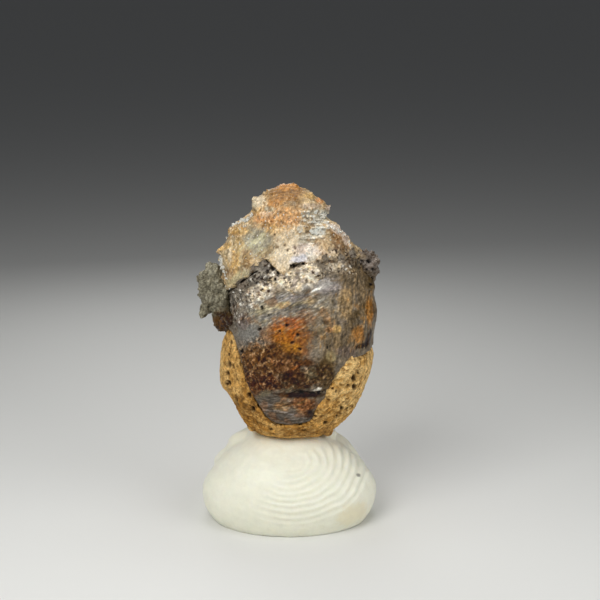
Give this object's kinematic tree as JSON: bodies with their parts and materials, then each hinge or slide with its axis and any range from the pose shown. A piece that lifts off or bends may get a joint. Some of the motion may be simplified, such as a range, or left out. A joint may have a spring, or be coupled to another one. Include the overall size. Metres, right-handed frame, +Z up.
{
  "type": "spiral calcite specimen",
  "caption": "Small upright mineral specimen: spindle of calcite wound by a spiral ledge, set in porous tan matrix, pressed into a lump of white putty.",
  "frame": {"origin": "centre of the putty's flat underside, where the part rests", "axes": "+Z up along the specimen, front towards -Y, +X to the right seen from the front"},
  "size_m": [0.0139, 0.011, 0.026],
  "materials": {
    "calcite": "satin",
    "tan_matrix": "matte",
    "grey_crystals": "satin",
    "dark_crystals": "satin",
    "white_putty": "satin"
  },
  "bodies": {
    "root": {"spiral_calcite": "calcite", "tan_matrix": "tan_matrix", "left_crystal_cluster": "grey_crystals", "right_crystal_knob": "dark_crystals", "putty_mount": "white_putty"}
  },
  "joints": []
}
